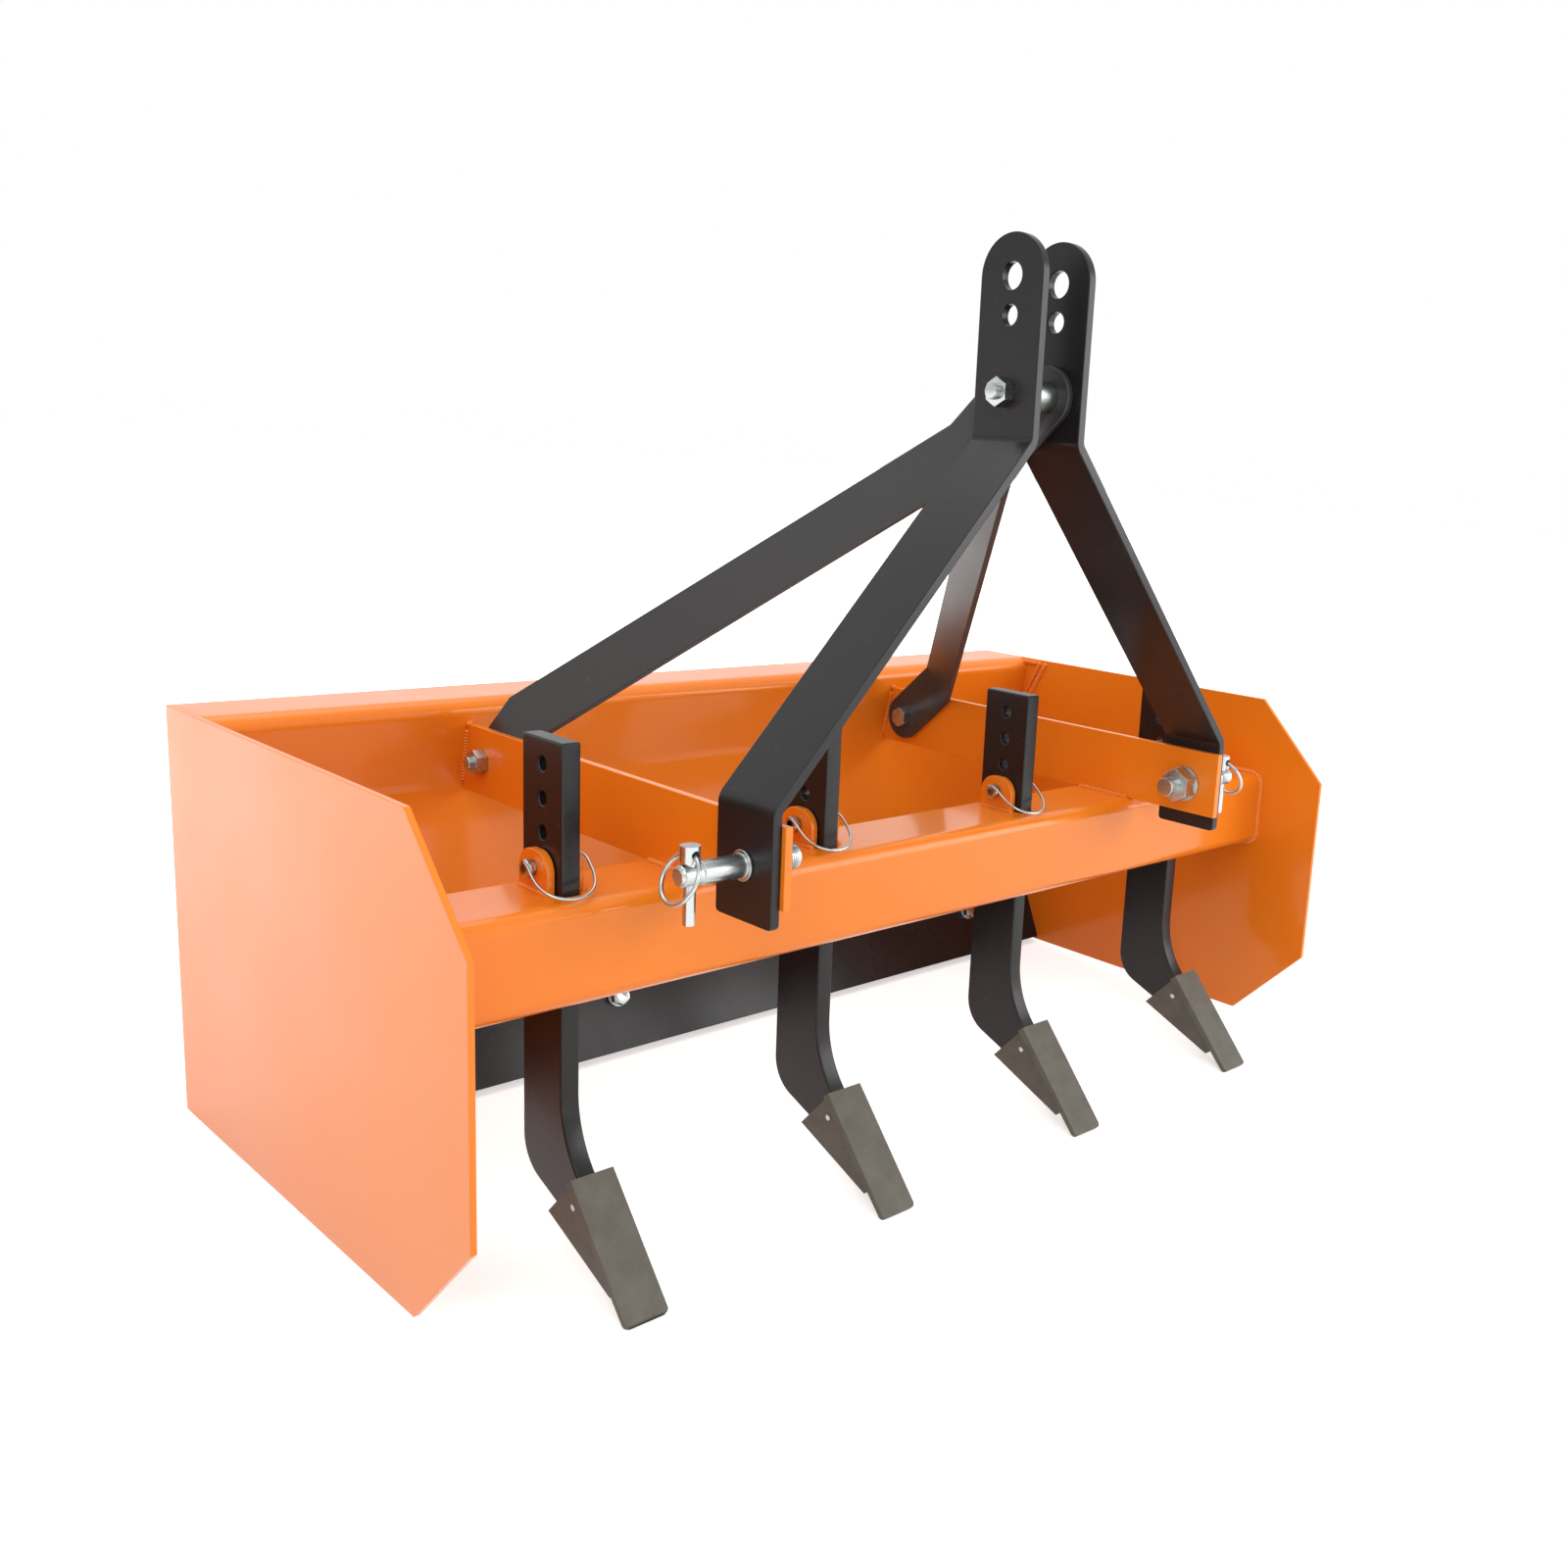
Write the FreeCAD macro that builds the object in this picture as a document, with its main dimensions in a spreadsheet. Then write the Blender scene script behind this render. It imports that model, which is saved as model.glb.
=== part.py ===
import FreeCAD, Part
import os
import re
import math
import Sketcher
from FreeCAD import Placement, Rotation, Vector

# A tractor box blade: two side panels and a moldboard form the box, a cross beam carries
# four ripper shanks, and a bolted frame of flat bars is its hitch. It is drawn level, with
# x to its right, y to its back and z up, y = 0 at the back edge of the side panels and
# z = 0 at their lower edge. At the end all of it settles on its tips and back corners.

doc = FreeCAD.newDocument("box_blade")
sheet = doc.addObject("Spreadsheet::Sheet", "sizes")
sheet.Label = "sizes"

# Every size is in millimetres or degrees. "back" sizes are measured from the back
# edge of the side panels forwards, "height" sizes from their lower edge upwards.
# A "rise" or "drop" is how far one thing lies above or below another.
SIZES = {
    # the box: side panels, moldboard and cutting edges
    "overall_width": 1219, "panel_depth": 626, "panel_height": 442, "panel_thickness": 6,
    "corner_cut": 100,
    "sheet_thickness": 6, "flange_depth": 97, "crease_back": 78, "crease_rise": 7,
    "blade_lean": 24, "blade_back": 156, "blade_lift": 5.2, "blade_width": 125,
    "blade_thickness": 12, "knee_gap": 8, "leg_short": 30, "leg_top_gap": 2,
    "flange_slant": 1.2, "flange_radius": 10, "crease_radius": 70, "knee_radius": 30,
    # the cross beam
    "beam_back": 535, "beam_depth": 104, "beam_drop": 104, "beam_height": 95,
    "beam_wall": 6, "beam_radius": 14,
    # the hitch plates and their bolts
    "plate_thickness": 8, "plate_height": 76, "plate_back": 652, "weld_gap": 0.5,
    "rear_bolt_back": 125, "rear_bolt_rise": 39, "rear_bolt_diameter": 16,
    "rear_nut_width": 24, "rear_nut_thickness": 13, "rear_head_thickness": 10,
    # the front straps and the mast
    "strap_width": 80, "strap_thickness": 10, "strap_gap": 58, "strap_foot": 52,
    "upper_bend_drop": 152, "lower_bend_rise": 57, "bend_radius": 9,
    "top_hole_rise": 535, "top_hole_diameter": 26,
    "second_hole_drop": 36, "second_hole_diameter": 20,
    "mast_bolt_drop": 108, "mast_bolt_diameter": 16, "mast_nut_width": 25,
    "mast_nut_thickness": 13, "thread_past": 7, "bolt_clearance": 0.5,
    "spacer_diameter": 32, "bore_overrun": 1, "end_flat": 0.2,
    # the rear braces
    "brace_width": 60, "brace_thickness": 8, "brace_tab": 84,
    # the lower hitch pins and their lynch pins
    "pin_back": 607, "pin_rise": 34, "pin_diameter": 22, "shoulder_spread": 683,
    "collar_diameter": 29, "collar_length": 3.5, "lynch_reach": 54, "pin_past_lynch": 13,
    "pin_step_gap": 0.5, "pin_end_diameter": 20, "pin_chamfer": 3,
    "hitch_nut_width": 36, "hitch_nut_thickness": 19, "washer_diameter": 42,
    "washer_thickness": 3, "hitch_thread_past": 18,
    "lynch_diameter": 11, "lynch_clearance": 0.35, "lynch_length": 56,
    "lynch_head_diameter": 18, "lynch_head_height": 15, "lynch_seat": 0.4,
    "ring_radius": 23, "ring_wire": 4, "ring_hole": 8, "ring_lean": 26,
    # the shanks, their tabs, pins and tips
    "shank_share": 0.7383, "shank_thickness": 19, "shank_depth": 66, "shank_back": 475,
    "shank_rise": 137, "shank_front_radius": 100, "shank_heel_radius": 40, "shank_heel_height": 67,
    "lock_pin_rise": 21, "hole_pitch": 31, "lock_hole": 13, "slot_clearance": 1,
    "tab_thickness": 8, "tab_width": 48, "tab_height": 38,
    "tab_radius": 20,
    "lock_pin_diameter": 12, "lock_pin_past": 9, "lock_head_diameter": 17, "lock_head_length": 7,
    "tip_top_back": 545, "tip_top_height": 88, "tip_lean": 41.7, "tip_length": 138,
    "tip_face": 10, "tip_end": 6, "tip_width": 44, "cheek_width": 31,
    "heel_along": 105, "heel_behind": 21, "shoulder_along": 6, "shoulder_behind": 70,
    "nose_along": 75, "nose_end_along": 86, "nose_end_behind": 19, "socket_clearance": 0.5,
}
for row, (name, size) in enumerate(SIZES.items(), start=1):
    sheet.set(f"A{row}", name)
    sheet.set(f"B{row}", str(size))
    sheet.setAlias(f"B{row}", name)
doc.recompute()

pieces = []


def bound(formula):
    """The formula with each of its sizes looked up in the sheet."""
    return re.sub(r"\b(?!sin\b|cos\b|tan\b|atan\b|sqrt\b)([a-z]\w*)", r"sizes.\1", formula)


def worth(formula):
    """The number that a formula of sizes comes to."""
    return float(sheet.evalExpression(formula))


def new_body(label):
    body = doc.addObject("PartDesign::Body", label)
    body.Label = label
    pieces.append(body)
    return body


def new_sketch(body, role, across="0", up="0", out="0", turn_axis=(0, 0, 1), turn="0"):
    """A sketch on one of the body's origin planes, moved and turned within it."""
    sketch = body.newObject("Sketcher::SketchObject", "Sketch")
    plane = next(f for f in body.Origin.OriginFeatures if f.Role == role)
    sketch.AttachmentSupport = (plane, [""])
    sketch.MapMode = "FlatFace"
    sketch.AttachmentOffset = Placement(Vector(), Rotation(Vector(*turn_axis), worth(turn)))
    for place, formula in (("Base.x", across), ("Base.y", up), ("Base.z", out)):
        sketch.setExpression(f"AttachmentOffset.{place}", bound(formula))
    if turn != "0":
        sketch.setExpression("AttachmentOffset.Rotation.Angle", bound(turn))
    return sketch


def fix_point(sketch, line, end, across, up):
    """Hold one point of a sketch at its distances from the sketch's origin."""
    for kind, axis, formula in (("DistanceX", -2, across), ("DistanceY", -1, up)):
        if formula == "0":
            sketch.addConstraint(Sketcher.Constraint("PointOnObject", line, end, axis))
        else:
            number = sketch.addConstraint(Sketcher.Constraint(kind, line, end, worth(formula)))
            sketch.setExpression(f"Constraints[{number}]", bound(formula))


def outline(sketch, points):
    """A closed outline through points, each a pair of formulas."""
    places = [Vector(worth(across), worth(up), 0) for across, up in points]
    first = sketch.GeometryCount
    for start, end in zip(places, places[1:] + places[:1]):
        sketch.addGeometry(Part.LineSegment(start, end))
    for i, (across, up) in enumerate(points):
        after = first + (i + 1) % len(points)
        sketch.addConstraint(Sketcher.Constraint("Coincident", first + i, 2, after, 1))
        fix_point(sketch, first + i, 1, across, up)


def circle(sketch, across, up, diameter):
    centre = Vector(worth(across), worth(up), 0)
    number = sketch.addGeometry(Part.Circle(centre, Vector(0, 0, 1), worth(diameter) / 2))
    size = sketch.addConstraint(Sketcher.Constraint("Diameter", number, worth(diameter)))
    sketch.setExpression(f"Constraints[{size}]", bound(diameter))
    fix_point(sketch, number, 3, across, up)


def pad(body, sketch, length, both_ways=False):
    feature = body.newObject("PartDesign::Pad", "Pad")
    feature.Profile = sketch
    feature.Midplane = both_ways
    feature.setExpression("Length", bound(length))
    return feature


def pocket(body, sketch, length):
    feature = body.newObject("PartDesign::Pocket", "Pocket")
    feature.Profile = sketch
    feature.Midplane = True
    feature.setExpression("Length", bound(length))
    return feature


def rounded(body, feature, radius, along, places):
    """Fillet the feature's straight edges that run along one axis through given places."""
    doc.recompute()
    names = []
    others = [i for i in range(3) if i != along]
    targets = [tuple(worth(f) for f in place) for place in places]
    for number, edge in enumerate(feature.Shape.Edges, start=1):
        way = edge.tangentAt(edge.FirstParameter)
        middle = edge.CenterOfMass
        if abs(way[along]) < 0.999:
            continue
        if any(all(abs(middle[i] - t) < 0.2 for i, t in zip(others, target)) for target in targets):
            names.append(f"Edge{number}")
    fillet = body.newObject("PartDesign::Fillet", "Fillet")
    fillet.Base = (feature, names)
    fillet.setExpression("Radius", bound(radius))
    return fillet


def plain_part(kind, sizes, place=("0", "0", "0"), axis=(0, 0, 1), angle=0):
    """A Part primitive with its sizes and its place bound to the sheet."""
    item = doc.addObject(f"Part::{kind}", kind)
    item.Placement = Placement(Vector(), Rotation(Vector(*axis), angle))
    for prop, formula in sizes.items():
        item.setExpression(prop, bound(formula))
    for letter, formula in zip("xyz", place):
        item.setExpression(f"Placement.Base.{letter}", bound(formula))
    return item


def rod_across(start, back, height, diameter, length):
    """A cylinder along x, from its left end."""
    sizes = {"Radius": f"({diameter}) / 2", "Height": length}
    return plain_part("Cylinder", sizes, (start, f"-({back})", height), (0, 1, 0), 90)


def hex_across(start, back, height, width, length):
    """A hexagon prism along x, from its left end, given its width over flats."""
    item = doc.addObject("Part::Prism", "Prism")
    item.Polygon = 6
    item.Placement = Placement(Vector(), Rotation(Vector(0, 1, 0), 90))
    item.setExpression("Circumradius", bound(f"({width}) / sqrt(3)"))
    item.setExpression("Height", bound(length))
    for letter, formula in zip("xyz", (start, f"-({back})", height)):
        item.setExpression(f"Placement.Base.{letter}", bound(formula))
    return item


def joined(label, parts):
    whole = doc.addObject("Part::MultiFuse", label)
    whole.Shapes = parts
    whole.Label = label
    return whole


def cut_from(label, base, tool):
    left_over = doc.addObject("Part::Cut", label)
    left_over.Base = base
    left_over.Tool = tool
    left_over.Label = label
    return left_over


def low_end(side, inside, thickness):
    """The left face of a wall that starts at a distance from the middle, on either side."""
    return f"{inside}" if side > 0 else f"-({inside}) - ({thickness})"


SIDES = (("left", -1), ("right", 1))
inner_width = "overall_width - 2 * panel_thickness"
knee_along = "(blade_width + knee_gap)"
plate_inside = "(shoulder_spread / 2 - collar_length - strap_thickness - plate_thickness)"
lynch_out = "(shoulder_spread / 2 + lynch_reach)"
beam_top = "(panel_height - beam_drop)"
beam_bottom = f"({beam_top} - beam_height)"
crease_height = f"({beam_top} + crease_rise)"
plate_top = f"({beam_top} + plate_height)"
rear_bolt_height = f"({beam_top} + rear_bolt_rise)"
pin_height = f"({beam_top} + pin_rise)"
top_hole_height = f"({pin_height} + top_hole_rise)"
mast_bolt_height = f"({top_hole_height} - mast_bolt_drop)"
lock_pin_height = f"({beam_top} + lock_pin_rise)"
shank_top = f"({beam_top} + shank_rise)"


def side_panels():
    for name, side in SIDES:
        body = new_body(f"side_panel_{name}")
        sketch = new_sketch(body, "YZ_Plane",
                            out=low_end(side, "overall_width / 2 - panel_thickness", "panel_thickness"))
        outline(sketch, [("0", "0"), ("-panel_depth + corner_cut", "0"),
                         ("-panel_depth", "corner_cut"), ("-panel_depth", "panel_height - corner_cut"),
                         ("-panel_depth + corner_cut", "panel_height"), ("0", "panel_height")])
        pad(body, sketch, "panel_thickness")


def on_blade(along, behind):
    """A point up the front cutting edge's face and behind it."""
    return (f"-blade_back + ({along}) * sin(blade_lean) + ({behind}) * cos(blade_lean)",
            f"blade_lift + ({along}) * cos(blade_lean) - ({behind}) * sin(blade_lean)")


def behind_blade(along, behind):
    """The same point on the rear one, mirrored so that its plate's top meets the moldboard."""
    meeting = on_blade("blade_width - leg_top_gap", "blade_thickness + sheet_thickness")[0]
    across, up = on_blade(along, behind)
    return f"2 * ({meeting}) + weld_gap - ({across})", up


def moldboard():
    body = new_body("moldboard")
    sketch = new_sketch(body, "YZ_Plane", out=f"-({inner_width}) / 2")
    knee = on_blade(knee_along, "blade_thickness")
    knee_behind = on_blade(f"{knee_along} + sheet_thickness * tan(blade_lean / 2)",
                           "blade_thickness + sheet_thickness")
    crease_behind = ("-crease_back + sheet_thickness", crease_height)
    flange_under = ("-flange_depth + flange_slant * sheet_thickness", "panel_height - sheet_thickness")
    outline(sketch, [
        ("0", "panel_height"), ("-flange_depth", "panel_height"), ("-crease_back", crease_height),
        knee, on_blade("leg_short", "blade_thickness"),
        on_blade("leg_short", "blade_thickness + sheet_thickness"),
        knee_behind, crease_behind, flange_under, ("0", "panel_height - sheet_thickness")])
    bent = pad(body, sketch, inner_width)
    for radius, inner, outer in (("flange_radius", flange_under, ("-flange_depth", "panel_height")),
                                 ("crease_radius", ("-crease_back", crease_height), crease_behind),
                                 ("knee_radius", knee, knee_behind)):
        bent = rounded(body, bent, radius, 0, [inner])
        bent = rounded(body, bent, f"{radius} + sheet_thickness", 0, [outer])


def rear_leg():
    body = new_body("rear_blade_plate")
    sketch = new_sketch(body, "YZ_Plane", out=f"-({inner_width}) / 2")
    outline(sketch, [behind_blade("blade_width - leg_top_gap", "blade_thickness"),
                     behind_blade("leg_short", "blade_thickness"),
                     behind_blade("leg_short", "blade_thickness + sheet_thickness"),
                     behind_blade("blade_width - leg_top_gap", "blade_thickness + sheet_thickness")])
    pad(body, sketch, inner_width)


def cutting_edges():
    for name, place in (("front", on_blade), ("rear", behind_blade)):
        body = new_body(f"cutting_edge_{name}")
        sketch = new_sketch(body, "YZ_Plane", out=f"-({inner_width}) / 2")
        outline(sketch, [place("0", "0"), place("blade_width", "0"),
                         place("blade_width", "blade_thickness"), place("0", "blade_thickness")])
        pad(body, sketch, inner_width)


def shank_middle(number):
    """The x of a shank, numbered 1 to 4 from the left."""
    return f"{number - 2.5} / 3 * overall_width * shank_share"


def cross_beam():
    body = new_body("cross_beam")
    sketch = new_sketch(body, "YZ_Plane", out=f"-({inner_width}) / 2")
    front, rear = "-beam_back", "-beam_back + beam_depth"
    outline(sketch, [(front, beam_bottom), (rear, beam_bottom), (rear, beam_top), (front, beam_top)])
    tube = pad(body, sketch, inner_width)
    corners = [(y, z) for y in (front, rear) for z in (beam_bottom, beam_top)]
    rounded(body, tube, "beam_radius", 0, corners)
    hollow = new_sketch(body, "YZ_Plane")
    fore, aft = f"{front} + beam_wall", f"{rear} - beam_wall"
    floor, roof = f"{beam_bottom} + beam_wall", f"{beam_top} - beam_wall"
    outline(hollow, [(fore, floor), (aft, floor), (aft, roof), (fore, roof)])
    pocket(body, hollow, "overall_width")
    slots = new_sketch(body, "XY_Plane", out=f"{beam_top} - beam_height / 2")
    for number in range(1, 5):
        left = f"{shank_middle(number)} - shank_thickness / 2 - slot_clearance"
        right = f"{shank_middle(number)} + shank_thickness / 2 + slot_clearance"
        near = "-shank_back - shank_depth / 2 - slot_clearance"
        far = "-shank_back + shank_depth / 2 + slot_clearance"
        outline(slots, [(left, near), (right, near), (right, far), (left, far)])
    pocket(body, slots, "2 * beam_height")


def hitch_plates():
    slope = f"(flange_depth - crease_back) / (panel_height - {crease_height})"
    for name, side in SIDES:
        body = new_body(f"hitch_plate_{name}")
        sketch = new_sketch(body, "YZ_Plane", out=low_end(side, plate_inside, "plate_thickness"))
        outline(sketch, [
            ("-plate_back", beam_top), ("-crease_back - weld_gap", beam_top),
            ("-crease_back - weld_gap", crease_height),
            (f"-crease_back - weld_gap - ({plate_top} - {crease_height}) * {slope}", plate_top),
            ("-plate_back", plate_top)])
        pad(body, sketch, "plate_thickness")
        holes = new_sketch(body, "YZ_Plane")
        circle(holes, "-pin_back", pin_height, "pin_diameter + bolt_clearance")
        circle(holes, "-rear_bolt_back", rear_bolt_height, "rear_bolt_diameter + bolt_clearance")
        pocket(body, holes, "overall_width")


def front_straps():
    inside, outside = "strap_gap / 2", "strap_gap / 2 + strap_thickness"
    low_inside = f"{plate_inside} + plate_thickness"
    low_outside = f"{low_inside} + strap_thickness"
    top, bottom = f"{top_hole_height} + strap_width / 2", f"{pin_height} - strap_foot"
    upper_bend = f"({top_hole_height} - upper_bend_drop)"
    lower_bend = f"({pin_height} + lower_bend_rise)"
    lean = f"atan(({low_outside} - ({outside})) / ({upper_bend} - {lower_bend}))"
    mitre = f"strap_thickness * tan({lean} / 2)"
    for name, side in SIDES:
        body = new_body(f"front_strap_{name}")
        sketch = new_sketch(body, "XZ_Plane", out="pin_back - strap_width / 2")
        corners = [(outside, top), (outside, upper_bend), (low_outside, lower_bend),
                   (low_outside, bottom), (low_inside, bottom),
                   (low_inside, f"{lower_bend} - {mitre}"), (inside, f"{upper_bend} - {mitre}"),
                   (inside, top)]
        corners = [(f"{side} * ({x})", z) for x, z in corners]
        outline(sketch, corners)
        bar = pad(body, sketch, "strap_width")
        bends = rounded(body, bar, "bend_radius", 1, [corners[1], corners[5]])
        backs = rounded(body, bends, "bend_radius + strap_thickness", 1, [corners[2], corners[6]])
        ends = [("-pin_back - strap_width / 2", top), ("-pin_back + strap_width / 2", top)]
        rounded(body, backs, "strap_width / 2 - end_flat / 2", 0, ends)
        holes = new_sketch(body, "YZ_Plane")
        circle(holes, "-pin_back", top_hole_height, "top_hole_diameter")
        circle(holes, "-pin_back", f"{top_hole_height} - second_hole_drop", "second_hole_diameter")
        circle(holes, "-pin_back", mast_bolt_height, "mast_bolt_diameter + bolt_clearance")
        circle(holes, "-pin_back", pin_height, "pin_diameter + bolt_clearance")
        pocket(body, holes, "overall_width")


def rear_braces():
    """Each brace is a bar whose length runs from the rear bolt up to the mast bolt."""
    run, rise = "(pin_back - rear_bolt_back)", f"({mast_bolt_height} - {rear_bolt_height})"
    length = f"sqrt({run} * {run} + {rise} * {rise})"
    high_out, low_out = "strap_gap / 2", plate_inside
    lean = f"atan(({low_out} - {high_out}) / ({length} - 2 * brace_tab))"
    mitre = f"brace_thickness * tan({lean} / 2)"
    low_end_at, high_end_at = "-brace_width / 2", f"{length} + brace_width / 2"
    for name, side in SIDES:
        body = new_body(f"rear_brace_{name}")
        sketch = new_sketch(body, "XZ_Plane", up=rear_bolt_height, out="rear_bolt_back",
                            turn_axis=(1, 0, 0), turn=f"atan({run} / {rise})")
        corners = [(low_out, low_end_at), (low_out, "brace_tab"),
                   (high_out, f"{length} - brace_tab + {mitre}"), (high_out, high_end_at),
                   (f"{high_out} - brace_thickness", high_end_at),
                   (f"{high_out} - brace_thickness", f"{length} - brace_tab"),
                   (f"{low_out} - brace_thickness", f"brace_tab - {mitre}"),
                   (f"{low_out} - brace_thickness", low_end_at)]
        outline(sketch, [(f"{side} * ({x})", v) for x, v in corners])
        bar = pad(body, sketch, "brace_width", both_ways=True)
        doc.recompute()
        # the short edges across the bar's thickness, at both of its ends
        ends = [f"Edge{number}" for number, edge in enumerate(bar.Shape.Edges, start=1)
                if abs(edge.tangentAt(edge.FirstParameter).x) > 0.999]
        fillet = body.newObject("PartDesign::Fillet", "Fillet")
        fillet.Base = (bar, ends)
        fillet.setExpression("Radius", bound("brace_width / 2 - end_flat / 2"))
        holes = new_sketch(body, "YZ_Plane")
        circle(holes, "-rear_bolt_back", rear_bolt_height, "rear_bolt_diameter + bolt_clearance")
        circle(holes, "-pin_back", mast_bolt_height, "mast_bolt_diameter + bolt_clearance")
        pocket(body, holes, "overall_width")


def mast_hardware():
    half = "strap_gap / 2 + strap_thickness"
    at = ("pin_back", mast_bolt_height)
    rod = rod_across(f"-({half}) - mast_nut_thickness - thread_past", *at, "mast_bolt_diameter",
                     f"2 * ({half}) + 2 * mast_nut_thickness + thread_past")
    head = hex_across(half, *at, "mast_nut_width", "mast_nut_thickness")
    nut = hex_across(f"-({half}) - mast_nut_thickness", *at, "mast_nut_width", "mast_nut_thickness")
    pieces.append(joined("mast_bolt", [rod, head, nut]))
    inner_half = "strap_gap / 2 - brace_thickness"
    tube = rod_across(f"-({inner_half})", *at, "spacer_diameter", f"2 * ({inner_half})")
    bore = rod_across(f"-({inner_half}) - bore_overrun", *at, "mast_bolt_diameter + bolt_clearance",
                      f"2 * ({inner_half} + bore_overrun)")
    pieces.append(cut_from("mast_spacer", tube, bore))


def rear_bolts():
    inner, outer = f"{plate_inside} - brace_thickness", f"{plate_inside} + plate_thickness"
    at = ("rear_bolt_back", rear_bolt_height)
    length = "plate_thickness + brace_thickness + rear_head_thickness + rear_nut_thickness + thread_past"
    for name, side in SIDES:
        rod_start = low_end(side, f"{inner} - rear_head_thickness", length)
        head_start = low_end(side, f"{inner} - rear_head_thickness", "rear_head_thickness")
        nut_start = low_end(side, outer, "rear_nut_thickness")
        pieces.append(joined(f"rear_brace_bolt_{name}", [
            rod_across(rod_start, *at, "rear_bolt_diameter", length),
            hex_across(head_start, *at, "rear_nut_width", "rear_head_thickness"),
            hex_across(nut_start, *at, "rear_nut_width", "rear_nut_thickness")]))


def hitch_pins():
    at = ("pin_back", pin_height)
    strap_face = "shoulder_spread / 2 - collar_length"
    nut_in = f"{plate_inside} - washer_thickness - hitch_nut_thickness"
    inner_end = f"{nut_in} - hitch_thread_past"
    outer_end = f"{lynch_out} + pin_past_lynch"
    # a tractor's link ball fills the full diameter, from the collar to the lynch pin's head
    step_at = f"{lynch_out} - lynch_head_diameter / 2 - pin_step_gap"
    for name, side in SIDES:
        length = f"{step_at} - ({inner_end})"
        rod = rod_across(low_end(side, inner_end, length), *at, "pin_diameter", length)
        end_length = f"{outer_end} - pin_chamfer - ({step_at})"
        end = rod_across(low_end(side, step_at, end_length), *at, "pin_end_diameter", end_length)
        cone = {"Radius1": "pin_end_diameter / 2", "Radius2": "pin_end_diameter / 2 - pin_chamfer",
                "Height": "pin_chamfer"}
        nose = plain_part("Cone", cone, (f"{side} * ({outer_end} - pin_chamfer)", "-pin_back", pin_height),
                          (0, 1, 0), 90 * side)
        ring = rod_across(low_end(side, strap_face, "collar_length"), *at, "collar_diameter",
                          "collar_length")
        whole = joined(f"hitch_pin_{name}_solid", [rod, end, nose, ring])
        hole = plain_part("Cylinder", {"Radius": "lynch_diameter / 2 + lynch_clearance",
                                       "Height": "2 * pin_diameter"},
                          (f"{side} * ({lynch_out})", "-pin_back", f"{pin_height} - pin_diameter"))
        pieces.append(cut_from(f"hitch_pin_{name}", whole, hole))
        nut = hex_across(low_end(side, nut_in, "hitch_nut_thickness"), *at,
                         "hitch_nut_width", "hitch_nut_thickness")
        washer = rod_across(low_end(side, f"{plate_inside} - washer_thickness", "washer_thickness"), *at,
                            "washer_diameter", "washer_thickness")
        bore_length = "hitch_nut_thickness + washer_thickness"
        bore = rod_across(low_end(side, nut_in, bore_length), *at, "pin_diameter", bore_length)
        pieces.append(cut_from(f"hitch_pin_nut_{name}", joined(f"nut_{name}_solid", [nut, washer]), bore))


def lynch_pins():
    """Lynch pins stand in the hitch pins' cross holes and their rings hang over the pins' ends."""
    seat = f"{pin_height} + pin_diameter / 2 + lynch_seat"
    ring_axis = f"{seat} + lynch_head_height / 2"
    for name, side in SIDES:
        x = f"{side} * ({lynch_out})"
        stem = plain_part("Cylinder", {"Radius": "lynch_diameter / 2",
                                       "Height": "lynch_length + bore_overrun"},
                          (x, "-pin_back", f"{seat} - lynch_length"))
        head = plain_part("Cylinder", {"Radius": "lynch_head_diameter / 2", "Height": "lynch_head_height"},
                          (x, "-pin_back", seat))
        hole = plain_part("Cylinder", {"Radius": "ring_hole / 2", "Height": "2 * lynch_head_diameter"},
                          (x, "-pin_back + lynch_head_diameter", ring_axis), (1, 0, 0), 90)
        pieces.append(cut_from(f"lynch_pin_{name}", joined(f"lynch_{name}_solid", [stem, head]), hole))
        ring = plain_part("Torus", {"Radius1": "ring_radius", "Radius2": "ring_wire / 2"},
                          (f"{side} * ({lynch_out} + ring_radius * sin(ring_lean))", "-pin_back",
                           f"{ring_axis} - ring_radius * cos(ring_lean)"),
                          (0, 1, 0), 90)
        ring.setExpression("Placement.Rotation.Angle", bound(f"90 + {side} * (0 - ring_lean)"))
        loop = doc.addObject("Part::Compound", f"lynch_ring_{name}")
        loop.Links = [ring]
        loop.Label = f"lynch_ring_{name}"
        pieces.append(loop)


def at_tip(along, behind):
    """A point down a tip's face from its top edge, and behind the face."""
    return (f"-tip_top_back - ({along}) * sin(tip_lean) + ({behind}) * cos(tip_lean)",
            f"tip_top_height - ({along}) * cos(tip_lean) - ({behind}) * sin(tip_lean)")


shank_front = "shank_back + shank_depth / 2"
shank_rear = "shank_back - shank_depth / 2"
socket_face = "tip_face + socket_clearance"


def shanks():
    face_turn = f"({shank_front} - tip_top_back + ({socket_face}) * cos(tip_lean)) / sin(tip_lean)"
    for number in range(1, 5):
        body = new_body(f"shank_{number}")
        sketch = new_sketch(body, "YZ_Plane", out=shank_middle(number))
        knee = (f"-({shank_front})", at_tip(face_turn, socket_face)[1])
        heel = (f"-({shank_rear})", "shank_heel_height")
        outline(sketch, [(f"-({shank_rear})", shank_top), (f"-({shank_front})", shank_top), knee,
                         at_tip("nose_along", socket_face), at_tip("nose_end_along", "nose_end_behind"),
                         heel])
        bar = pad(body, sketch, "shank_thickness", both_ways=True)
        front = rounded(body, bar, "shank_front_radius", 0, [knee])
        rounded(body, front, "shank_heel_radius", 0, [heel])
        holes = new_sketch(body, "YZ_Plane")
        for step in range(4):
            circle(holes, "-shank_back", f"{lock_pin_height} + {step} * hole_pitch", "lock_hole")
        pocket(body, holes, "2 * overall_width")


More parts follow.
